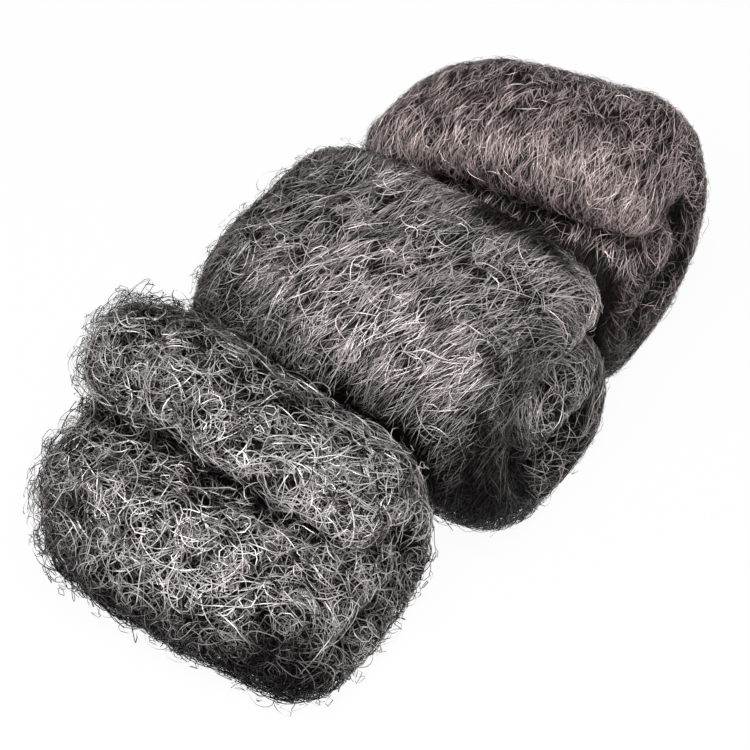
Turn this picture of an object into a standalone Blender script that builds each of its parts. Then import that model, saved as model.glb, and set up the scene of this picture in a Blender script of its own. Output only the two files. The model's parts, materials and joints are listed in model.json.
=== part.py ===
"""A bundle of three steel wool pads, coarse, medium and fine, leaning together in a row.

Each pad is one thick ribbon of wool rolled up flat. Seen from its end, the ribbon starts inside the
roll, runs to a tight fold, comes back along the floor, turns up round its own start in a wide fold
and ends on top in a free tail. The three layers so made lie a hair apart.

+X is along the ribbons' width, +Y along the row from the coarse pad to the fine one, and +Z is up.
The origin is on the floor, under the middle of the medium pad.
"""

import math
from typing import NamedTuple

import bmesh
import bpy
from mathutils import Vector, noise

# All sizes are in metres.
LAYER_GAP = 0.0010
PAD_GAP = 0.0003
FLOOR_PRESS = 0.0025
STEP_ACROSS = 0.0072
STEP_ALONG = 0.0052
ROUNDING_STATIONS = 3
THINNEST_SHARE = 0.16
LUMP_SPACING = 0.034
TUFT_SPACING = 0.011
PULL_POWER = 3
UNEVENNESS_SEED = 4


class Pad(NamedTuple):
    """One pad's own sizes. What is called a share or a slope has no unit."""

    name: str
    width: float
    depth: float
    ribbon: float  # the ribbon's thickness, and so a third of the pad's height
    tail_reach: float  # how far the free tail runs from the wide fold
    tail_to_front: bool
    shift: float  # the pad's own offset along X in the row
    press: float  # how far each neighbour flattens the roll
    left_pull: float  # share by which the left end is shallower than the middle
    right_pull: float  # the same at the right end
    end_drop: float  # share by which the ends are lower than the middle
    left_rise: float  # share by which the left end is higher, and the right end lower
    left_taper: float  # share by which the left half is narrower in front, and wider at the back
    right_taper: float  # the same in the right half
    lean: float  # slope towards the back
    slump: float  # how much further the floor layer reaches along X than the top one
    lump: float  # height of the soft unevenness
    tuft: float  # height of the tufts that stand up from the faces in view
    colour: tuple
    roughness: float


COARSE = Pad(
    name="coarse_pad",
    width=0.113,
    depth=0.085,
    ribbon=0.0226,
    tail_reach=0.018,
    tail_to_front=True,
    shift=-0.0068,
    press=0.0030,
    left_pull=0.23,
    right_pull=0.14,
    end_drop=0.07,
    left_rise=0.17,
    left_taper=0.06,
    right_taper=0.0,
    lean=0.11,
    slump=0.0097,
    lump=0.0026,
    tuft=0.0040,
    colour=(0.115, 0.108, 0.107),
    roughness=0.42,
)
MEDIUM = Pad(
    name="medium_pad",
    width=0.120,
    depth=0.086,
    ribbon=0.0248,
    tail_reach=0.052,
    tail_to_front=False,
    shift=0.003,
    press=0.0035,
    left_pull=0.12,
    right_pull=0.10,
    end_drop=0.10,
    left_rise=0.04,
    left_taper=-0.04,
    right_taper=-0.015,
    lean=0.075,
    slump=0.0095,
    lump=0.0022,
    tuft=0.0032,
    colour=(0.125, 0.115, 0.114),
    roughness=0.46,
)
FINE = Pad(
    name="fine_pad",
    width=0.1135,
    depth=0.081,
    ribbon=0.0254,
    tail_reach=0.031,
    tail_to_front=True,
    shift=0.0,
    press=0.0030,
    left_pull=0.11,
    right_pull=0.115,
    end_drop=0.185,
    left_rise=-0.16,
    left_taper=-0.05,
    right_taper=-0.02,
    lean=0.22,
    slump=0.0035,
    lump=0.0018,
    tuft=0.0024,
    colour=(0.098, 0.083, 0.081),
    roughness=0.52,
)
ROW = (COARSE, MEDIUM, FINE)


def clear_scene():
    for old in list(bpy.data.objects):
        bpy.data.objects.remove(old, do_unlink=True)


def straight(start, end):
    """A run of the ribbon's centre line: its length, and its point at each distance along it."""
    length = (end - start).length
    return length, lambda distance: start.lerp(end, distance / length)


def fold(centre, radius, start_angle, sweep):
    """A fold of the centre line, in the same form as a straight run."""

    def point_at(distance):
        angle = start_angle + distance / radius
        return centre + radius * Vector((math.cos(angle), math.sin(angle)))

    return sweep * radius, point_at


def roll_runs(pad):
    """The centre line of the rolled ribbon in the section plane, in (y, z), with the tail towards y 0.

    The tight fold's radius is half the pitch of the layers and the wide fold's is one pitch, so each
    layer lies LAYER_GAP from the next all the way round.
    """
    pitch = pad.ribbon + LAYER_GAP
    bottom, middle, top = (pad.ribbon / 2 + pitch * layer for layer in range(3))
    near = pitch / 2 + pad.ribbon / 2
    far = pad.depth + 2 * pad.press - pitch - pad.ribbon / 2
    start = Vector((far + pad.ribbon / 2, middle))
    tail = Vector((far - pad.tail_reach, top))
    return [
        straight(start, Vector((near, middle))),
        fold(Vector((near, bottom + pitch / 2)), pitch / 2, math.pi / 2, math.pi),
        straight(Vector((near, bottom)), Vector((far, bottom))),
        fold(Vector((far, middle)), pitch, -math.pi / 2, math.pi),
        straight(Vector((far, top)), tail),
    ]


def point_along(runs, distance):
    """The centre line's point at this distance from its start."""
    for length, point_at in runs:
        if distance <= length:
            return point_at(distance)
        distance -= length
    return point_at(length)


def rounded_off(distance, radius):
    """The share of a half circle's height that is left this far from its edge."""
    inside = min(1.0, distance / radius)
    return math.sqrt(1 - (1 - inside) ** 2)


def stations(length, ribbon, step):
    """Distances along or across the ribbon: close together where it is rounded off, then even."""
    radius = ribbon / 2
    ends = [
        radius * (1 - math.cos(math.pi / 2 * i / ROUNDING_STATIONS))
        for i in range(ROUNDING_STATIONS)
    ]
    steps = math.ceil((length - 2 * radius) / step)
    between = [
        radius + (length - 2 * radius) * i / steps for i in range(steps + 1)
    ]
    return ends + between + [length - end for end in reversed(ends)]


def ribbon_sheet(pad):
    """The ribbon's middle surface, with the share of its full thickness as a vertex weight."""
    runs = roll_runs(pad)
    length = sum(run[0] for run in runs)
    radius = pad.ribbon / 2
    spread = [
        2 * distance / pad.width - 1 for distance in stations(pad.width, pad.ribbon, STEP_ACROSS)
    ]
    sheet = bmesh.new()
    weight = sheet.verts.layers.deform.verify()
    rows = []
    for distance in stations(length, pad.ribbon, STEP_ALONG):
        point = point_along(runs, distance)
        along = rounded_off(min(distance, length - distance), radius)
        half_width = pad.width / 2 - radius * (1 - along)
        row = []
        for share in spread:
            vertex = sheet.verts.new((share * half_width, point.x, point.y))
            across = rounded_off(half_width * (1 - abs(share)), radius)
            vertex[weight][0] = max(THINNEST_SHARE, along * across)
            row.append(vertex)
        rows.append(row)
    for low, high in zip(rows, rows[1:]):
        for corners in zip(low, low[1:], high[1:], high):
            sheet.faces.new(corners)
    return sheet


def rolled_ribbon(pad):
    """The straight roll: the sheet given its thickness, as a mesh with no modifier."""
    mesh = bpy.data.meshes.new(pad.name + "_sheet")
    sheet = ribbon_sheet(pad)
    sheet.to_mesh(mesh)
    sheet.free()
    guide = bpy.data.objects.new(pad.name + "_sheet", mesh)
    bpy.context.scene.collection.objects.link(guide)
    guide.vertex_groups.new(name="thickness")
    solidify = guide.modifiers.new("thickness", "SOLIDIFY")
    solidify.thickness = pad.ribbon
    solidify.offset = 0.0
    solidify.use_even_offset = True
    solidify.vertex_group = "thickness"
    bpy.context.view_layer.update()
    graph = bpy.context.evaluated_depsgraph_get()
    solid = bpy.data.meshes.new_from_object(guide.evaluated_get(graph))
    bpy.data.objects.remove(guide, do_unlink=True)
    return solid


def exposure(point, pad):
    """1 on the straight roll's front, back and top, falling to 0 at half a ribbon's depth."""
    pitch = pad.ribbon + LAYER_GAP
    back = pad.depth + 2 * pad.press
    tail_end = back - pitch - pad.ribbon / 2 - pad.tail_reach
    under_tail = max(0.0, 2 * pitch - point.z)
    if point.y > tail_end:
        past_edge = math.hypot(point.y - tail_end, under_tail)
        depth = min(3 * pitch - LAYER_GAP - point.z, back - point.y, past_edge)
    else:
        depth = min(2 * pitch - point.z, point.y)
    return min(1.0, max(0.0, 1 - depth / (pad.ribbon / 2)))


def unevenness(point, outside, pad):
    """A smooth wander of the whole pad, which moves its layers alike, and tufts on its outside."""
    own_place = Vector((0, 0, ROW.index(pad) + 1))
    lumps = noise.noise_vector(point / LUMP_SPACING + own_place) * pad.lump
    tufts = noise.noise_vector(point / TUFT_SPACING + own_place) * pad.tuft
    return lumps + tufts * outside


def settle(point, pad):
    """Where a point of the straight roll ends up once the pad has slumped and lies in the row."""
    height = 3 * pad.ribbon + 2 * LAYER_GAP
    y = point.y - pad.press
    if not pad.tail_to_front:
        y = pad.depth - y
    from_middle = y - pad.depth / 2
    across = 2 * point.x / pad.width
    end = abs(across) ** PULL_POWER
    pull, taper = (
        (pad.left_pull, pad.left_taper) if across < 0 else (pad.right_pull, pad.right_taper)
    )
    settled = Vector(
        (
            point.x * (1 + taper * 2 * from_middle / pad.depth)
            + pad.slump * (0.5 - point.z / height),
            pad.depth / 2
            + from_middle * (1 - pull * end)
            + pad.lean * (point.z - height / 2),
            point.z * (1 - pad.end_drop * end) * (1 - pad.left_rise * across) - FLOOR_PRESS,
        )
    )
    return settled + unevenness(settled, exposure(point, pad), pad)


def pressed(point, pad):
    """The point held above the floor and within the planes where the pad meets its neighbours."""
    front = -math.inf if pad is COARSE else 0.0
    back = math.inf if pad is FINE else pad.depth
    return Vector((point.x, min(max(point.y, front), back), max(point.z, 0.0)))


def row_start(pad):
    """Where the pad's front contact plane stands on the Y axis."""
    middle_start = -MEDIUM.depth / 2
    if pad is COARSE:
        return middle_start - PAD_GAP - COARSE.depth
    if pad is FINE:
        return middle_start + MEDIUM.depth + PAD_GAP
    return middle_start


def wool_material(pad):
    material = bpy.data.materials.new(pad.name)
    material.use_nodes = True
    shader = material.node_tree.nodes["Principled BSDF"]
    shader.inputs["Base Color"].default_value = (*pad.colour, 1.0)
    shader.inputs["Metallic"].default_value = 0.8
    shader.inputs["Roughness"].default_value = pad.roughness
    material.diffuse_color = (*pad.colour, 1.0)
    return material


def build_pad(pad, collection):
    mesh = rolled_ribbon(pad)
    mesh.name = pad.name
    for vertex in mesh.vertices:
        vertex.co = pressed(settle(vertex.co, pad), pad)
    solid = bmesh.new()
    solid.from_mesh(mesh)
    bmesh.ops.recalc_face_normals(solid, faces=solid.faces)
    solid.to_mesh(mesh)
    solid.free()
    mesh.materials.clear()
    mesh.materials.append(wool_material(pad))
    mesh.shade_smooth()
    body = bpy.data.objects.new(pad.name, mesh)
    body.location = (pad.shift, row_start(pad), 0.0)
    collection.objects.link(body)


def main():
    clear_scene()
    noise.seed_set(UNEVENNESS_SEED)
    bundle = bpy.data.collections.new("steel_wool_bundle")
    bpy.context.scene.collection.children.link(bundle)
    for pad in ROW:
        build_pad(pad, bundle)


main()
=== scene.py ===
"""Looks of a bundle of three steel wool pads: a core in each, dark as painted shade of the deep wool, under
layers of curved steel fibres.
"""

import json
import math
from typing import NamedTuple

import bpy
import numpy as np
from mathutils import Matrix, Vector
from mathutils.bvhtree import BVHTree

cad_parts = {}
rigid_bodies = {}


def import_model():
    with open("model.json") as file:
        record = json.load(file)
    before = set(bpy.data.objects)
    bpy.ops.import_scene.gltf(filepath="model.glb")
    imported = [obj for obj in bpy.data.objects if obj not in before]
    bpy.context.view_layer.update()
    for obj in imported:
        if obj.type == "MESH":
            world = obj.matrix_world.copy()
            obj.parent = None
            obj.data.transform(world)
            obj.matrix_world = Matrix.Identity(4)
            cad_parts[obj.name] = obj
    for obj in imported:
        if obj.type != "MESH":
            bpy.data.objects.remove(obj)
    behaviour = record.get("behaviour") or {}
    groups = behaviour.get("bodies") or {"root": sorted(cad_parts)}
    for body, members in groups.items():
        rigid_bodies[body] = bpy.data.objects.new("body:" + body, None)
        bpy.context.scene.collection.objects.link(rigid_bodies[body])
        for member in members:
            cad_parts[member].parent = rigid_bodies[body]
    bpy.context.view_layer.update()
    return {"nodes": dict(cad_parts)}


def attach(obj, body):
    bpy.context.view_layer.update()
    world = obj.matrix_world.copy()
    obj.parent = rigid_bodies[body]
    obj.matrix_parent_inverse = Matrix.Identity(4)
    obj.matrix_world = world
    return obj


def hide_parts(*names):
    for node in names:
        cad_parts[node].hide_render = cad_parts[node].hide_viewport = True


MM = 0.001

# The grid of distances round each pad
GRID_STEP = 2.5 * MM
GRID_MARGIN = 14 * MM
CLOSED_OVER = 2.0 * MM  # gaps narrower than twice this count as wool
JUST_UNDER = 0.2 * MM  # how far below the surface's level a filled hollow is

# The lowest places over the floor: of the core, of a fibre's centre line and of its edges
CORE_FLOOR_GAP = 0.4 * MM
LINE_FLOOR_GAP = 0.15 * MM
EDGE_FLOOR_GAP = 0.05 * MM

# The wool's unevenness
LUMP_SPACING = 16 * MM
SWIRL_SPACING = 38 * MM
FRAYED_WIDTH = 0.07  # share of the width, from the left end, where the dense wool draws back

# Where few fibres are needed: on the floor side, and where two pads press on each other
HIDDEN_SHARE = 0.15  # density there
FLOOR_SIDE_TOP = 5 * MM
FLOOR_FACING = -0.6  # how squarely the skin looks down, where -1 is straight down
PRESSED_FACING = 0.9  # how squarely the skin looks at the next pad, where 1 is straight at it
PRESSED_TOP = 0.6  # share of the height
PRESSED_WIDTH = 0.38  # share of the width, to each side of the middle

# Fibres
STRAY_ENDS_WIDTH = 0.15  # share of the width, from the left end, where loops stand out further
FAR_STRAYS = 0.02  # share of the loops that stand out much further
FAR_STRAY_REACH = 2.5
FARTHEST = 9 * MM
EYE_SIZE = 0.4  # the middle of a pad's end, as a share of its half height
EYE_SPREAD = 80  # degrees by which fibres cross there
STEEPEST = 0.7  # how fast a fibre climbs or dips
CLIMB_STEPS = 1.6  # steps over which a fibre comes back to its depth
WAVE_RANGE = (0.7, 1.4)  # a fibre's own share of its layer's wave length
WIDTH_RANGE = (0.75, 1.25)  # and of its layer's width
TILT = 0.4  # how far the strips lean from the surface
TWIST = (0.35, 0.03)  # of a whole fibre, in radians, and for each millimetre of its length

# Light and shade painted into the wool's colour
DEEPEST_LIGHT = 0.03
END_SHADE = 0.15  # how much darker painted shade makes a pad's ends
LOW_END_SHADE = 0.6  # how much darker still at the floor
LOW_END_TOP = 45  # height in millimetres where that starts
LEFT_SHADE_WIDTH = 0.5  # share of the width over which the left end's painted shade fades
FREE_BACK_SHADE = 0.4  # how strongly painted shade by the floor darkens a back that no pad touches

# The core's grain, in millimetres: for each radian round the roll, towards the middle of an end, and outwards
TURN_GRAIN = 44
END_GRAIN = 35
OUT_GRAIN = 10
END_FACE = 0.8  # share of the half width where an end starts

# Materials
STREAK_SCALE, STREAK_STRENGTH = 420.0, 0.15
STEEL_RAMP = (0.12, 0.68)
GLOSS_CHANGE = (0.08, 0.10)
# The core's near-black colours are painted shade of the deep wool
CORE_DARK, CORE_LIGHT = (0.003, 0.0025, 0.0025), (0.03, 0.026, 0.026)
CORE_RAMP = (0.56, 0.72)
CORE_WANDER = 7.0  # how far the core's streaks bend, in millimetres
CORE_STREAKS = ((0.0, 0.0), (0.5, 31.0), (-0.6, 67.0))  # each set's turn, and its place in the noise

# Floor, lamp and world
FLOOR_SIZE = 6.0
FLOOR_GREY, FLOOR_WHITE = 0.92, 0.95  # its colour, and how much of it the camera sees as plain white
WORLD_LIGHT = 0.25
KEY_PLACE, KEY_AIM = (0.12, -0.45, 1.1), (0, 0, 0.03)
KEY_SIZE, KEY_ENERGY = 1.0, 14

# Camera
CAMERA_AZIMUTH, CAMERA_ELEVATION = 33.0, 45.0
CAMERA_DISTANCE, CAMERA_FIELD = 1.2, 0.25
CAMERA_TARGET = Vector((0.0, -0.0103, 0.0279))
SENSOR_WIDTH = 36.0


class Layer(NamedTuple):
    """One group of fibres. Lengths are in millimetres and angles in degrees."""

    name: str
    count: int
    segments: int
    step: float  # length of a segment
    width: float
    depth: tuple  # the lowest and highest place of the fibres over the surface
    weave: tuple  # how far a fibre wanders in and out, and the length of one such wave
    bend: float  # typical turn in a millimetre
    kink: float  # typical sudden turn at a step
    skew: tuple  # turn of the flow away from the roll's direction, at the left end and at the right
    swirl: float  # turn of the flow that neighbouring fibres share
    spread: tuple  # random turn of a fibre away from the flow, at the left end and at the right
    follow: float  # how strongly a fibre keeps to the flow
    tuck: float  # how far both ends dip into the wool
    tone: tuple  # darkest fibre, brightest fibre, and how rare the bright ones are, before painted light and shade
    share: tuple  # density at the left end, density at the right, and the share of the width between
    left_reach: float = 0  # how much further out the fibres stand at the left end


class Shade(NamedTuple):
    """A place painted in shade, where little light reaches: a soft-edged box in the frame, in millimetres."""

    low: tuple
    high: tuple
    softness: float
    strength: float


class Pad(NamedTuple):
    """One pad's wool. Lengths are in millimetres."""

    node: str
    slot: str
    seed: int
    front_met: bool  # another pad lies against its front
    back_met: bool
    dark: tuple  # colour of the darkest steel
    light: tuple
    roughness: float
    fineness: float  # how close together the core's streaks are
    core_depth: float
    relief: float  # height of the lumps
    fade: float  # how far down the last painted light reaches between the fibres
    groove: float  # how far a groove's walls shade each other, as painted shade, in millimetres
    shade_top: float  # height below which painted shade darkens the front and back towards the floor
    left_end: float  # brightness of the wool at the left end, as painted shade
    front_gain: float  # share by which painted light makes the front brighter and painted shade the back darker
    # boxes of painted shade
    shades: tuple
    frayed: float  # how far the dense wool draws back from the left end, where loose loops take over
    front_skew: float  # degrees by which the flow turns further on the front, and less on the back
    layers: tuple


PADS = (
    Pad(
        node="coarse_pad",
        slot="coarse_wool",
        seed=11,
        front_met=False,
        back_met=True,
        dark=(0.009, 0.007, 0.007),
        light=(0.95, 0.89, 0.88),
        roughness=0.38,
        fineness=2.4,
        core_depth=3.6,
        relief=0.6,
        fade=1.2,
        groove=3.5,
        shade_top=40,
        left_end=0.35,
        front_gain=0.2,
        shades=(
            # The front's right edge
            Shade(low=(22, -150, -20), high=(80, -108, 62), softness=14, strength=0.6),
            # The hump's back
            Shade(low=(-70, -76, 40), high=(28, -30, 95), softness=10, strength=0.35),
        ),
        frayed=6.5,
        front_skew=29,
        layers=(
            Layer(
                name="fibres_a",
                count=4500,
                segments=12,
                step=3.0,
                width=0.28,
                depth=(-3.4, -1.2),
                weave=(0.7, 30),
                bend=4.0,
                kink=6,
                skew=(0, -30),
                swirl=45,
                spread=(50, 30),
                follow=0.03,
                tuck=0.8,
                tone=(0.0, 0.7, 1.3),
                share=(1, 1, 1),
            ),
            Layer(
                name="fibres_b",
                count=6500,
                segments=13,
                step=3.0,
                width=0.29,
                depth=(-1.3, 0.7),
                weave=(0.9, 24),
                bend=4.5,
                kink=7,
                skew=(0, -30),
                swirl=45,
                spread=(55, 28),
                follow=0.03,
                tuck=2.0,
                tone=(0.0, 1.25, 1.35),
                share=(1, 1, 1),
            ),
            Layer(
                name="loops",
                count=1700,
                segments=13,
                step=2.4,
                width=0.26,
                depth=(0.3, 3.4),
                weave=(2.4, 34),
                bend=11.0,
                kink=6,
                skew=(-15, -50),
                swirl=45,
                spread=(80, 60),
                follow=0.0,
                tuck=3.0,
                tone=(0.0, 0.9, 1.2),
                share=(1, 0.2, 0.4),
                left_reach=2.2,
            ),
        ),
    ),
    Pad(
        node="medium_pad",
        slot="medium_wool",
        seed=23,
        front_met=True,
        back_met=True,
        dark=(0.010, 0.008, 0.008),
        light=(0.95, 0.87, 0.85),
        roughness=0.40,
        fineness=3.2,
        core_depth=2.6,
        relief=0.4,
        fade=0.9,
        groove=2,
        shade_top=64,
        left_end=0.28,
        front_gain=0.0,
        shades=(
            # The fold at the front's lower right
            Shade(low=(44, -60, -20), high=(80, -8, 60), softness=12, strength=0.8),
            # The upper right end
            Shade(low=(40, -60, 45), high=(90, 18, 95), softness=12, strength=0.6),
            # The top's back edge, by the fine pad
            Shade(low=(-45, 37, 63), high=(75, 60, 95), softness=5, strength=0.75),
            # The same edge, wider towards the right
            Shade(low=(6, 28, 63), high=(75, 60, 95), softness=5, strength=0.85),
        ),
        frayed=1.5,
        front_skew=10,
        layers=(
            Layer(
                name="fibres_a",
                count=10000,
                segments=5,
                step=5.0,
                width=0.17,
                depth=(-2.0, -0.7),
                weave=(0.5, 24),
                bend=1.0,
                kink=3,
                skew=(-17, -17),
                swirl=7,
                spread=(30, 10),
                follow=0.2,
                tuck=0.4,
                tone=(0.0, 0.8, 1.3),
                share=(1, 1, 1),
            ),
            Layer(
                name="fibres_b",
                count=18500,
                segments=5,
                step=4.4,
                width=0.18,
                depth=(-0.8, 0.2),
                weave=(0.6, 19),
                bend=1.4,
                kink=4,
                skew=(-17, -17),
                swirl=7,
                spread=(34, 11),
                follow=0.2,
                tuck=1.0,
                tone=(0.0, 1.25, 1.5),
                share=(1, 1, 1),
            ),
            Layer(
                name="curls",
                count=2200,
                segments=9,
                step=2.4,
                width=0.20,
                depth=(-0.5, 0.5),
                weave=(0.6, 20),
                bend=7.0,
                kink=6,
                skew=(-20, -20),
                swirl=7,
                spread=(90, 60),
                follow=0.0,
                tuck=1.4,
                tone=(0.4, 0.95, 1.0),
                share=(1, 0.6, 1),
            ),
            Layer(
                name="loops",
                count=1100,
                segments=10,
                step=2.2,
                width=0.20,
                depth=(0.1, 1.8),
                weave=(1.6, 24),
                bend=11.0,
                kink=6,
                skew=(-20, -20),
                swirl=7,
                spread=(90, 70),
                follow=0.0,
                tuck=2.0,
                tone=(0.1, 0.8, 1.2),
                share=(1, 0.4, 0.5),
                left_reach=1.2,
            ),
        ),
    ),
    Pad(
        node="fine_pad",
        slot="fine_wool",
        seed=37,
        front_met=True,
        back_met=False,
        dark=(0.016, 0.011, 0.011),
        light=(0.94, 0.78, 0.76),
        roughness=0.44,
        fineness=4.2,
        core_depth=2.2,
        relief=0.3,
        fade=0.8,
        groove=2.5,
        shade_top=60,
        left_end=0.75,
        front_gain=0.36,
        shades=(
            # The recess under the top layer
            Shade(low=(-80, 30, -20), high=(58, 64, 68), softness=5, strength=0.88),
            # The right end's lower front
            Shade(low=(40, 30, -20), high=(80, 80, 50), softness=8, strength=0.4),
        ),
        frayed=0.5,
        front_skew=16,
        layers=(
            Layer(
                name="fibres_a",
                count=13000,
                segments=4,
                step=3.6,
                width=0.15,
                depth=(-1.8, -0.6),
                weave=(0.4, 14),
                bend=2.0,
                kink=4,
                skew=(10, 14),
                swirl=8,
                spread=(24, 18),
                follow=0.15,
                tuck=0.2,
                tone=(0.0, 0.9, 1.3),
                share=(1, 1, 1),
            ),
            Layer(
                name="fibres_b",
                count=26500,
                segments=4,
                step=3.0,
                width=0.16,
                depth=(-0.7, 0.2),
                weave=(0.5, 12),
                bend=2.6,
                kink=5,
                skew=(10, 14),
                swirl=8,
                spread=(24, 20),
                follow=0.15,
                tuck=0.6,
                tone=(0.0, 1.25, 1.5),
                share=(1, 1, 1),
            ),
            Layer(
                name="loops",
                count=2200,
                segments=6,
                step=1.8,
                width=0.15,
                depth=(0.0, 0.9),
                weave=(0.9, 14),
                bend=12.0,
                kink=6,
                skew=(0, 12),
                swirl=8,
                spread=(80, 80),
                follow=0.0,
                tuck=0.8,
                tone=(0.1, 0.7, 1.2),
                share=(1, 1, 1),
                left_reach=0.5,
            ),
        ),
    ),
)


def clear_scene():
    for old in list(bpy.data.objects):
        bpy.data.objects.remove(old, do_unlink=True)


def unit(vectors):
    return vectors / np.maximum(np.linalg.norm(vectors, axis=-1, keepdims=True), 1e-12)


def slow_noise(rng, spacing, waves=7):
    """A smooth random field of about -1 to 1, from crossed waves this far apart."""
    ways = unit(rng.normal(size=(waves, 3))) * 2 * math.pi / (spacing * rng.uniform(0.7, 1.5, (waves, 1)))
    phases = rng.uniform(0, 2 * math.pi, waves)
    return lambda places: np.sin(places @ ways.T + phases).sum(axis=-1) / math.sqrt(waves)


def distances(points, faces, origin, shape):
    """Distance from each point of a grid to a mesh, below zero behind the nearest face."""
    tree = BVHTree.FromPolygons(points.tolist(), faces.tolist())
    grid = np.empty(shape)
    for i, j, k in np.ndindex(*shape):
        place = Vector((origin[0] + i * GRID_STEP, origin[1] + j * GRID_STEP, origin[2] + k * GRID_STEP))
        near, normal, _, distance = tree.find_nearest(place)
        grid[i, j, k] = distance if (place - near).dot(normal) > 0 else -distance
    return grid


def outside_only(grid, level):
    """The grid with its sign set by what the outside air reaches, and with every hollow that the air
    doesn't reach filled up to just under the level."""
    far = np.abs(grid) > level
    reached = np.zeros_like(far)
    reached[0] = reached[-1] = True
    reached[:, 0] = reached[:, -1] = True
    reached[:, :, 0] = reached[:, :, -1] = True
    reached &= far
    while True:
        grown = reached.copy()
        for axis in range(3):
            ahead = [slice(None)] * 3
            behind = [slice(None)] * 3
            ahead[axis], behind[axis] = slice(1, None), slice(None, -1)
            grown[tuple(ahead)] |= reached[tuple(behind)]
            grown[tuple(behind)] |= reached[tuple(ahead)]
        grown &= far
        if (grown == reached).all():
            break
        reached = grown
    return np.where(reached, np.abs(grid), np.minimum(grid, level - JUST_UNDER * far))


def level_surface(grid, level, origin):
    """The closed surface where the grid has this value: one point in each crossed cell, one square over
    each crossed grid edge."""
    below = grid < level
    total = np.zeros([n - 1 for n in grid.shape] + [3])
    hits = np.zeros([n - 1 for n in grid.shape])
    cells = np.stack(np.meshgrid(*[np.arange(n - 1) for n in grid.shape], indexing="ij"), axis=-1)
    for corner in np.ndindex(2, 2, 2):
        for axis in range(3):
            if corner[axis]:
                continue
            other = list(corner)
            other[axis] = 1
            a = tuple(slice(c, n - 1 + c) for c, n in zip(corner, grid.shape))
            b = tuple(slice(c, n - 1 + c) for c, n in zip(other, grid.shape))
            crossed = below[a] != below[b]
            rise = np.where(crossed, grid[b] - grid[a], 1)
            share = np.clip((level - grid[a]) / rise, 0, 1)
            place = np.broadcast_to(np.array(corner, float), total.shape).copy()
            place[..., axis] += share
            total += np.where(crossed[..., None], place, 0)
            hits += crossed
    used = hits > 0
    number = np.full(hits.shape, -1)
    number[used] = np.arange(used.sum())
    points = origin + GRID_STEP * (cells[used] + total[used] / hits[used][:, None])
    faces = []
    for axis in range(3):
        ahead = [slice(None)] * 3
        behind = [slice(None)] * 3
        ahead[axis], behind[axis] = slice(1, None), slice(None, -1)
        first, second = below[tuple(behind)], below[tuple(ahead)]
        u, v = (axis + 1) % 3, (axis + 2) % 3
        for leaving in (True, False):
            spots = np.argwhere((first & ~second) if leaving else (~first & second))
            spots = spots[(spots[:, u] > 0) & (spots[:, v] > 0)]
            spots = spots[(spots[:, u] < grid.shape[u] - 1) & (spots[:, v] < grid.shape[v] - 1)]
            ring = []
            for du, dv in ((0, 0), (-1, 0), (-1, -1), (0, -1)):
                cell = spots.copy()
                cell[:, u] += du
                cell[:, v] += dv
                ring.append(number[tuple(cell.T)])
            square = np.stack(ring, axis=1)
            faces.append(square if leaving else square[:, ::-1])
    return points, np.concatenate(faces)


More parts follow.
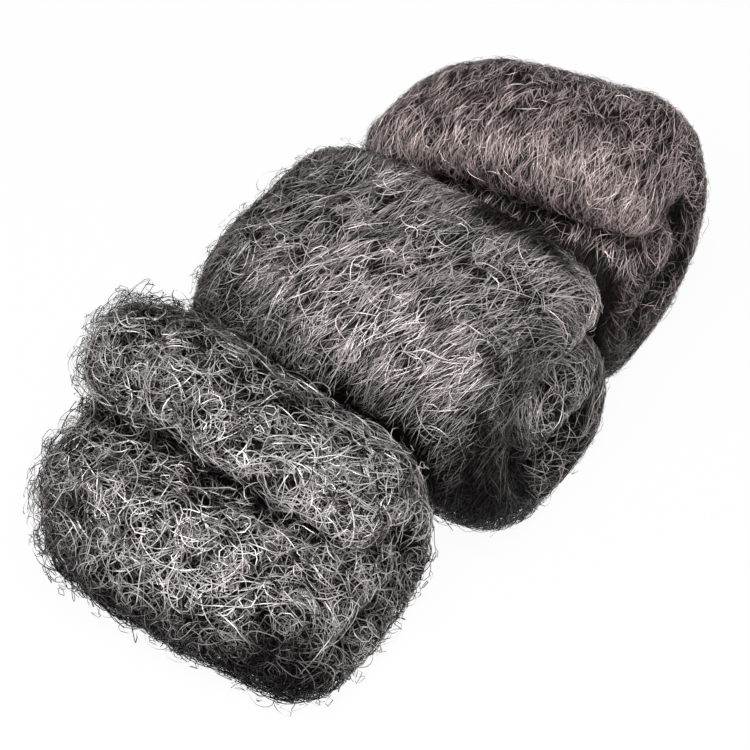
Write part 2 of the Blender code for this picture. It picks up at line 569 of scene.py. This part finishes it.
class Surface:
    """A pad's outer skin, closed over its narrow gaps, and the signed distance to it anywhere near."""

    def __init__(self, pad, node):
        self.pad = pad
        self.rng = np.random.default_rng(pad.seed)
        self.lumps = slow_noise(self.rng, LUMP_SPACING)
        self.swirl = slow_noise(self.rng, SWIRL_SPACING)
        mesh = node.data
        mesh.calc_loop_triangles()
        points = np.array([v.co for v in mesh.vertices], float)
        faces = np.array([t.vertices[:] for t in mesh.loop_triangles])
        self.low, self.high = points.min(0), points.max(0)
        self.centre = (self.low + self.high) / 2
        self.half = (self.high - self.low) / 2
        self.origin = self.low - GRID_MARGIN
        self.shape = tuple(np.ceil((self.high + GRID_MARGIN - self.origin) / GRID_STEP).astype(int) + 1)
        solid = outside_only(distances(points, faces, self.origin, self.shape), CLOSED_OVER)
        self.skin = level_surface(solid, CLOSED_OVER, self.origin)
        away = np.abs(distances(*self.skin, self.origin, self.shape))
        self.grid = np.where(solid < CLOSED_OVER, -away, away) + CLOSED_OVER
        self.slopes = np.stack(np.gradient(self.grid, GRID_STEP), axis=-1)

    def read(self, places):
        """Signed distance and outward direction at these places."""
        at = np.clip((places - self.origin) / GRID_STEP, 0, np.array(self.shape) - 1.001)
        low = at.astype(int)
        part = at - low
        distance = np.zeros(len(places))
        slope = np.zeros((len(places), 3))
        for corner in np.ndindex(2, 2, 2):
            share = np.prod(np.where(corner, part, 1 - part), axis=1)
            i, j, k = (low + corner).T
            distance += share * self.grid[i, j, k]
            slope += share[:, None] * self.slopes[i, j, k]
        return distance, unit(slope)

    def relief(self, places):
        """How far the lumps and the frayed left end move the wool in or out here."""
        drawn_back = np.clip(1 - self.rightness(places) / FRAYED_WIDTH, 0, 1)
        return (self.lumps(places) * self.pad.relief - drawn_back * self.pad.frayed) * MM

    def density(self, spot, out, share):
        """A layer's share of fibres where a pad can be seen, and few on the floor side and between pads."""
        left, right, width = share
        full = left + (right - left) * np.clip(self.rightness(spot) / width, 0, 1)
        floor_side = (out[:, 2] < FLOOR_FACING) & (spot[:, 2] < FLOOR_SIDE_TOP)
        pressed = (np.abs(out[:, 1]) > PRESSED_FACING) & (spot[:, 2] < PRESSED_TOP * self.high[2])
        inner = np.abs(spot[:, 0] - self.centre[0]) < PRESSED_WIDTH * (self.high[0] - self.low[0])
        front = (out[:, 1] < 0) & self.pad.front_met
        back = (out[:, 1] > 0) & self.pad.back_met
        return np.where(floor_side | (pressed & inner & (front | back)), HIDDEN_SHARE, full)

    def scatter(self, count, share):
        """Random points spread over the skin by the layer's density."""
        points, faces = self.skin
        corners = points[faces]
        areas = np.linalg.norm(np.cross(corners[:, 2] - corners[:, 0], corners[:, 3] - corners[:, 1]), axis=1)
        found = []
        while sum(map(len, found)) < count:
            face = self.rng.choice(len(faces), count, p=areas / areas.sum())
            a, b = self.rng.random((2, count, 1))
            p0, p1, p2, p3 = np.moveaxis(corners[face], 1, 0)
            spot = (1 - a) * ((1 - b) * p0 + b * p3) + a * ((1 - b) * p1 + b * p2)
            distance, out = self.read(spot)
            spot = spot - out * distance[:, None]
            kept = self.rng.random(count) < self.density(spot, out, share)
            found.append(spot[kept])
        return np.concatenate(found)[:count]

    def flow(self, places, out, angle):
        """The ribbon's direction at these places, turned by this angle and lying in the surface."""
        from_axis = (places - self.centre) / self.half
        from_axis[:, 0] = 0
        section = out.copy()
        section[:, 0] = 0
        flatness = np.linalg.norm(section, axis=1, keepdims=True)
        section = section + (1 - flatness) * unit(from_axis)
        along = unit(np.cross((1.0, 0.0, 0.0), unit(section)))
        side = np.cross(out, along)
        return unit(np.cos(angle)[:, None] * along + np.sin(angle)[:, None] * side)

    def painted_groove_light(self, places, distance, out):
        """Painted shade in a groove: the share of the light that reaches it, none where the opposite wall is
        close.
        """
        reach = self.pad.groove * MM
        above = np.min([other.read(places + out * reach)[0] for other in self.row], axis=0)
        return np.clip((above - distance) / reach, 0, 1) ** 2

    def painted_wall_light(self, places, out):
        """Painted shade on a pad's ends and on its front and back: the share of the light there, less of it
        near the floor.
        """
        height = places[:, 2] / MM
        end = np.abs(out[:, 0])
        ends = (1 - END_SHADE * end) * (1 - LOW_END_SHADE * end * np.clip(1 - height / LOW_END_TOP, 0, 1))
        free_back = (out[:, 1] > 0) & (not self.pad.back_met)
        wall = np.abs(out[:, 1]) * np.where(free_back, FREE_BACK_SHADE, 1)
        return ends * (1 - wall * np.clip(1 - height / self.pad.shade_top, 0, 1)) ** 2

    def shaded(self, places):
        """Painted shade: the share of the light in the pad's shaded boxes, and all of it outside them."""
        share = np.ones(len(places))
        for shade in self.pad.shades:
            inside = np.minimum(places / MM - shade.low, shade.high - places / MM)
            share *= 1 - shade.strength * np.prod(np.clip(inside / shade.softness, 0, 1), axis=1)
        return share

    def light(self, places, distance, out):
        """How much light is painted on the wool's colour here: all of it in the open, and little deep
        down, in a groove or in a shaded box."""
        pad = self.pad
        # painted shade: the deeper a fibre lies under the wool's level, the darker
        shallow = np.clip(1 + (distance - self.relief(places)) / (pad.fade * MM), 0, 1) ** 2
        depth = DEEPEST_LIGHT + (1 - DEEPEST_LIGHT) * shallow
        # painted shade: darker towards the left end
        left = pad.left_end + (1 - pad.left_end) * np.clip(self.rightness(places) / LEFT_SHADE_WIDTH, 0, 1)
        # painted light on the front, painted shade on the back
        facing = 1 - pad.front_gain * out[:, 1]
        # painted shade in grooves, on walls near the floor and in the shaded boxes
        around = self.painted_groove_light(places, distance, out) * self.painted_wall_light(places, out) * self.shaded(places)
        return depth * around * left * facing

    def rightness(self, places):
        """0 at the pad's left end and 1 at its right."""
        return np.clip((places[:, 0] - self.low[0]) / (self.high[0] - self.low[0]), 0, 1)

    def grain(self, places):
        """Coordinates along the roll, across it and out of it, in millimetres."""
        across = (places - self.centre) / self.half
        turn = np.arctan2(across[:, 2], across[:, 1])
        ring = np.hypot(across[:, 1], across[:, 2])
        on_end = np.abs(across[:, 0]) > END_FACE
        end = np.sign(across[:, 0]) * (1 - np.minimum(ring, 1)) * END_GRAIN * on_end
        return np.stack([turn * TURN_GRAIN, places[:, 0] / MM + end, ring * OUT_GRAIN], axis=1)


def turned(vectors, axes, angles):
    """Each vector turned about its axis, by Rodrigues' formula."""
    c, s = np.cos(angles)[:, None], np.sin(angles)[:, None]
    along = np.sum(vectors * axes, axis=1, keepdims=True)
    return vectors * c + np.cross(axes, vectors) * s + axes * along * (1 - c)


def grow(surface, layer):
    """The fibres' centre lines, (count, segments + 1, 3), with the outward direction and the share of
    the painted light on the wool at each point."""
    rng = surface.rng
    place = surface.scatter(layer.count, layer.share)
    count = len(place)
    _, out = surface.read(place)
    relief = surface.relief(place)
    depth = rng.uniform(*layer.depth, count) * MM
    if layer.left_reach:
        depth *= 1 + layer.left_reach * np.clip(1 - surface.rightness(place) / STRAY_ENDS_WIDTH, 0, 1)
        depth *= np.where(rng.random(count) < FAR_STRAYS, FAR_STRAY_REACH, 1)
        depth = np.minimum(depth, FARTHEST)
    place = place + out * (depth + relief - layer.tuck * MM)[:, None]

    def flow_at(place, out):
        right = surface.rightness(place)
        angle = layer.skew[0] + (layer.skew[1] - layer.skew[0]) * right + layer.swirl * surface.swirl(place)
        angle += surface.pad.front_skew * out[:, 1]
        return surface.flow(place, out, np.radians(angle))

    spread = layer.spread[0] + (layer.spread[1] - layer.spread[0]) * surface.rightness(place)
    from_eye = np.hypot(*((place - surface.centre) / surface.half)[:, 1:].T)
    spread = spread + EYE_SPREAD * np.clip(1 - from_eye / EYE_SIZE, 0, 1)
    heading = turned(flow_at(place, out), out, np.radians(rng.normal(0, 1, count) * spread))
    heading = heading * np.where(rng.random(count) < 0.5, 1, -1)[:, None]
    place[:, 2] = np.maximum(place[:, 2], LINE_FLOOR_GAP)
    bend = np.radians(rng.normal(0, layer.bend, count)) * layer.step
    change = np.radians(rng.normal(0, layer.bend / 3, count)) * layer.step
    phase = rng.uniform(0, 2 * math.pi, count)
    weave, wave = layer.weave
    pace = 2 * math.pi * layer.step / (wave * rng.uniform(*WAVE_RANGE, count))
    line = [place]
    normals = [out]
    light = []
    step = layer.step * MM
    for i in range(layer.segments):
        distance, out = surface.read(place)
        light.append(surface.light(place, distance, out))
        end_share = abs(2 * (i + 1) / layer.segments - 1) ** 3
        target = (
            depth
            + surface.relief(place)
            + weave * MM * np.sin(phase + pace * i)
            - layer.tuck * MM * end_share
        )
        flow = flow_at(place, out)
        flow = flow * np.sign(np.sum(flow * heading, axis=1, keepdims=True))
        level = heading - out * np.sum(heading * out, axis=1, keepdims=True)
        climb = np.clip((target - distance) / (CLIMB_STEPS * step), -STEEPEST, STEEPEST)
        heading = unit(unit(level) + out * climb[:, None] + flow * layer.follow * layer.step / 3)
        kink = np.radians(rng.normal(0, layer.kink, count))
        heading = turned(heading, out, bend + change * i + kink)
        place = place + heading * step
        place[:, 2] = np.maximum(place[:, 2], LINE_FLOOR_GAP)
        line.append(place)
        normals.append(out)
    light.append(surface.light(place, *surface.read(place)))
    return np.stack(line, axis=1), np.stack(normals, axis=1), np.stack(light, axis=1)


def strips(line, normals, light, layer, rng):
    """Thin strips along the centre lines, pointed at both ends: their points, their faces as corner
    counts and corners, and each point's brightness with the painted light and shade laid on."""
    count, rows, _ = line.shape
    along = unit(np.gradient(line, axis=1))
    facing = unit(normals + rng.normal(0, TILT, (count, 1, 3)))
    across = unit(np.cross(along, facing))
    third = np.cross(across, along)
    start, pace = (rng.normal(0, size, (count, 1)) for size in TWIST)
    twist = start + pace * layer.step * np.arange(rows)
    across = across * np.cos(twist)[..., None] + third * np.sin(twist)[..., None]
    size = rng.uniform(*WIDTH_RANGE, (count, 1))
    half = (across * (size * layer.width * MM / 2)[..., None])[:, 1:-1]
    middle = line[:, 1:-1]
    sides = np.stack([middle - half, middle + half], axis=2).reshape(count, -1, 3)
    points = np.concatenate([line[:, :1], sides, line[:, -1:]], axis=1)
    each = points.shape[1]
    points = points.reshape(-1, 3)
    points[:, 2] = np.maximum(points[:, 2], EDGE_FLOOR_GAP)
    inner = np.arange(rows - 3) * 2 + 1
    squares = np.stack([inner, inner + 1, inner + 3, inner + 2], axis=-1).ravel()
    pattern = np.concatenate([[0, 2, 1], squares, [each - 3, each - 2, each - 1]])
    corners = (np.arange(count)[:, None] * each + pattern).ravel()
    sizes = np.tile(np.array([3] + [4] * (rows - 3) + [3]), count)
    darkest, brightest, rarity = layer.tone
    # each fibre's random brightness, times the painted light and shade at each point
    lit = (darkest + (brightest - darkest) * rng.random((count, 1)) ** rarity) * light
    tone = np.concatenate([lit[:, :1], np.repeat(lit[:, 1:-1], 2, axis=1), lit[:, -1:]], axis=1).ravel()
    return points, sizes, corners, tone


def mesh_of(name, points, sizes, corners):
    mesh = bpy.data.meshes.new(name)
    mesh.vertices.add(len(points))
    mesh.vertices.foreach_set("co", np.asarray(points, np.float32).ravel())
    mesh.loops.add(len(corners))
    mesh.loops.foreach_set("vertex_index", np.asarray(corners, np.int32))
    mesh.polygons.add(len(sizes))
    starts = np.concatenate([[0], np.cumsum(sizes)[:-1]])
    mesh.polygons.foreach_set("loop_start", starts.astype(np.int32))
    mesh.update(calc_edges=True)
    mesh.validate()
    return mesh


def linked(obj):
    bpy.context.scene.collection.objects.link(obj)
    return obj


def node_at(tree, kind, x, y):
    node = tree.nodes.new(kind)
    node.location = (x, y)
    return node


def steel_material(pad):
    """Bare steel fibre: its own brightness with painted light and shade laid on, and fine streaks and
    slightly changing gloss along it.
    """
    material = bpy.data.materials.new(pad.node + "_steel")
    material.use_nodes = True
    tree = material.node_tree
    shader = tree.nodes["Principled BSDF"]
    shader.inputs["Metallic"].default_value = 0.45
    shader.inputs["Specular IOR Level"].default_value = 0.2
    # the attribute holds each fibre's own brightness with painted light and shade
    tone = node_at(tree, "ShaderNodeAttribute", -900, 200)
    tone.attribute_name = "tone"
    place = node_at(tree, "ShaderNodeTexCoord", -1100, -100)
    streaks = node_at(tree, "ShaderNodeTexNoise", -900, -100)
    streaks.inputs["Scale"].default_value = STREAK_SCALE
    streaks.inputs["Detail"].default_value = 2.0
    tree.links.new(place.outputs["Object"], streaks.inputs["Vector"])
    both = node_at(tree, "ShaderNodeMath", -700, 100)
    both.operation = "MULTIPLY_ADD"
    both.inputs[1].default_value = STREAK_STRENGTH
    tree.links.new(streaks.outputs["Fac"], both.inputs[0])
    tree.links.new(tone.outputs["Fac"], both.inputs[2])
    ramp = node_at(tree, "ShaderNodeValToRGB", -500, 100)
    ramp.color_ramp.elements[0].position = STEEL_RAMP[0]
    ramp.color_ramp.elements[0].color = (*pad.dark, 1)
    ramp.color_ramp.elements[1].position = STEEL_RAMP[1]
    ramp.color_ramp.elements[1].color = (*pad.light, 1)
    tree.links.new(both.outputs[0], ramp.inputs["Fac"])
    tree.links.new(ramp.outputs["Color"], shader.inputs["Base Color"])
    gloss = node_at(tree, "ShaderNodeMapRange", -500, -200)
    gloss.inputs["To Min"].default_value = pad.roughness - GLOSS_CHANGE[0]
    gloss.inputs["To Max"].default_value = pad.roughness + GLOSS_CHANGE[1]
    tree.links.new(streaks.outputs["Fac"], gloss.inputs["Value"])
    tree.links.new(gloss.outputs["Result"], shader.inputs["Roughness"])
    return material


def core_material(pad):
    """The wool below: almost black as painted shade of the deep wool, with the faint streaks of deeper fibres
    along the flow.
    """
    material = bpy.data.materials.new(pad.node + "_core")
    material.use_nodes = True
    tree = material.node_tree
    shader = tree.nodes["Principled BSDF"]
    shader.inputs["Metallic"].default_value = 0.7
    shader.inputs["Roughness"].default_value = 0.55
    grain = node_at(tree, "ShaderNodeAttribute", -1500, 0)
    grain.attribute_name = "grain"
    wander = node_at(tree, "ShaderNodeTexNoise", -1300, -200)
    wander.inputs["Scale"].default_value = 0.18
    tree.links.new(grain.outputs["Vector"], wander.inputs["Vector"])
    moved = node_at(tree, "ShaderNodeVectorMath", -1100, 0)
    moved.operation = "MULTIPLY_ADD"
    moved.inputs[1].default_value = (CORE_WANDER, CORE_WANDER, CORE_WANDER)
    tree.links.new(wander.outputs["Color"], moved.inputs[0])
    tree.links.new(grain.outputs["Vector"], moved.inputs[2])
    brightest = None
    for turn, offset in CORE_STREAKS:
        mapping = node_at(tree, "ShaderNodeMapping", -900, -offset * 6)
        mapping.inputs["Location"].default_value = (offset, offset, offset)
        mapping.inputs["Rotation"].default_value = (0.0, 0.0, turn)
        mapping.inputs["Scale"].default_value = (0.22, pad.fineness, 0.5)
        tree.links.new(moved.outputs[0], mapping.inputs["Vector"])
        threads = node_at(tree, "ShaderNodeTexNoise", -700, -offset * 6)
        threads.inputs["Scale"].default_value = 1.0
        threads.inputs["Detail"].default_value = 1.5
        tree.links.new(mapping.outputs[0], threads.inputs["Vector"])
        if brightest is None:
            brightest = threads.outputs["Fac"]
            continue
        both = node_at(tree, "ShaderNodeMath", -500, -offset * 6)
        both.operation = "MAXIMUM"
        tree.links.new(brightest, both.inputs[0])
        tree.links.new(threads.outputs["Fac"], both.inputs[1])
        brightest = both.outputs[0]
    ramp = node_at(tree, "ShaderNodeValToRGB", -300, 100)
    ramp.color_ramp.elements[0].position = CORE_RAMP[0]
    ramp.color_ramp.elements[0].color = (*CORE_DARK, 1)
    ramp.color_ramp.elements[1].position = CORE_RAMP[1]
    ramp.color_ramp.elements[1].color = (*CORE_LIGHT, 1)
    tree.links.new(brightest, ramp.inputs["Fac"])
    tree.links.new(ramp.outputs["Color"], shader.inputs["Base Color"])
    bump = node_at(tree, "ShaderNodeBump", -300, -200)
    bump.inputs["Strength"].default_value = 0.7
    bump.inputs["Distance"].default_value = 0.5 * MM
    tree.links.new(brightest, bump.inputs["Height"])
    tree.links.new(bump.outputs["Normal"], shader.inputs["Normal"])
    return material


def build_core(surface):
    """The wool below the separate fibres: the skin again, further in."""
    pad = surface.pad
    points, faces = level_surface(surface.grid, -pad.core_depth * MM, surface.origin)
    _, out = surface.read(points)
    points = points + out * surface.relief(points)[:, None]
    points[:, 2] = np.maximum(points[:, 2], CORE_FLOOR_GAP)
    mesh = mesh_of(pad.node + "_core", points, np.full(len(faces), 4), faces.ravel())
    grain = mesh.attributes.new("grain", "FLOAT_VECTOR", "POINT")
    grain.data.foreach_set("vector", surface.grain(points).astype(np.float32).ravel())
    mesh.materials.append(core_material(pad))
    mesh.shade_smooth()
    core = linked(bpy.data.objects.new(pad.node + "_core", mesh))
    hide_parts(pad.node)
    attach(core, "root")


def build_layer(surface, layer, material):
    pad = surface.pad
    line, normals, light = grow(surface, layer)
    points, sizes, corners, tone = strips(line, normals, light, layer, surface.rng)
    mesh = mesh_of(f"{pad.node}_{layer.name}", points, sizes, corners)
    # each point's brightness with painted light and shade, for the material
    attribute = mesh.attributes.new("tone", "FLOAT", "POINT")
    attribute.data.foreach_set("value", tone.astype(np.float32))
    mesh.materials.append(material)
    piece = linked(bpy.data.objects.new(f"{pad.node}_{layer.name}", mesh))
    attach(piece, "root")


def build_pad(surface):
    build_core(surface)
    steel = steel_material(surface.pad)
    for layer in surface.pad.layers:
        build_layer(surface, layer, steel)


def build_camera():
    a, e = math.radians(CAMERA_AZIMUTH), math.radians(CAMERA_ELEVATION)
    back = Vector((math.sin(a) * math.cos(e), -math.cos(a) * math.cos(e), math.sin(e)))
    data = bpy.data.cameras.new("camera")
    data.sensor_width = SENSOR_WIDTH
    data.lens = SENSOR_WIDTH * CAMERA_DISTANCE / CAMERA_FIELD
    data.clip_start, data.clip_end = 0.05, 50.0
    camera = linked(bpy.data.objects.new("camera", data))
    camera.location = CAMERA_TARGET + back * CAMERA_DISTANCE
    camera.rotation_euler = (-back).to_track_quat("-Z", "Y").to_euler()
    bpy.context.scene.camera = camera


def build_light():
    """One large soft lamp above the front, and an even white world."""
    data = bpy.data.lights.new("key", "AREA")
    data.size = KEY_SIZE
    data.energy = KEY_ENERGY
    light = linked(bpy.data.objects.new("key", data))
    light.location = KEY_PLACE
    light.rotation_euler = (Vector(KEY_AIM) - Vector(KEY_PLACE)).to_track_quat("-Z", "Y").to_euler()

    world = bpy.data.worlds.new("studio")
    bpy.context.scene.world = world
    world.use_nodes = True
    ground = world.node_tree.nodes["Background"]
    ground.inputs["Color"].default_value = (1, 1, 1, 1)
    ground.inputs["Strength"].default_value = WORLD_LIGHT


def background_share(tree, x, y):
    """1 for what the camera, or a reflection of it, sees directly, and 0 for light that falls on things."""
    path = node_at(tree, "ShaderNodeLightPath", x - 400, y)
    first = node_at(tree, "ShaderNodeMath", x - 200, y)
    first.operation = "MAXIMUM"
    tree.links.new(path.outputs["Is Camera Ray"], first.inputs[0])
    tree.links.new(path.outputs["Is Glossy Ray"], first.inputs[1])
    both = node_at(tree, "ShaderNodeMath", x, y)
    both.operation = "MAXIMUM"
    tree.links.new(first.outputs[0], both.inputs[0])
    tree.links.new(path.outputs["Is Transmission Ray"], both.inputs[1])
    return both.outputs[0]


def build_floor():
    """A floor that looks plain white to the camera, and still takes light and shadow."""
    points = np.array([(-1, -1, 0), (1, -1, 0), (1, 1, 0), (-1, 1, 0)]) * FLOOR_SIZE
    floor = linked(bpy.data.objects.new("floor", mesh_of("floor", points, [4], [0, 1, 2, 3])))
    material = bpy.data.materials.new("floor")
    material.use_nodes = True
    tree = material.node_tree
    shader = tree.nodes["Principled BSDF"]
    shader.inputs["Base Color"].default_value = (FLOOR_GREY, FLOOR_GREY, FLOOR_GREY, 1)
    shader.inputs["Roughness"].default_value = 0.9
    shader.inputs["Specular IOR Level"].default_value = 0.1
    glow = node_at(tree, "ShaderNodeEmission", 0, -300)
    mix = node_at(tree, "ShaderNodeMixShader", 300, 0)
    share = node_at(tree, "ShaderNodeMath", 100, 300)
    share.operation = "MULTIPLY"
    share.inputs[1].default_value = FLOOR_WHITE
    tree.links.new(background_share(tree, -100, 300), share.inputs[0])
    tree.links.new(share.outputs[0], mix.inputs["Fac"])
    tree.links.new(shader.outputs[0], mix.inputs[1])
    tree.links.new(glow.outputs[0], mix.inputs[2])
    tree.links.new(mix.outputs[0], tree.nodes["Material Output"].inputs["Surface"])
    floor.data.materials.append(material)


def main():
    clear_scene()
    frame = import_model()
    bpy.context.scene.view_settings.view_transform = "Standard"
    build_camera()
    build_floor()
    build_light()
    row = [Surface(pad, frame["nodes"][pad.node]) for pad in PADS]
    for surface in row:
        surface.row = row
        build_pad(surface)
    bpy.context.view_layer.update()


main()
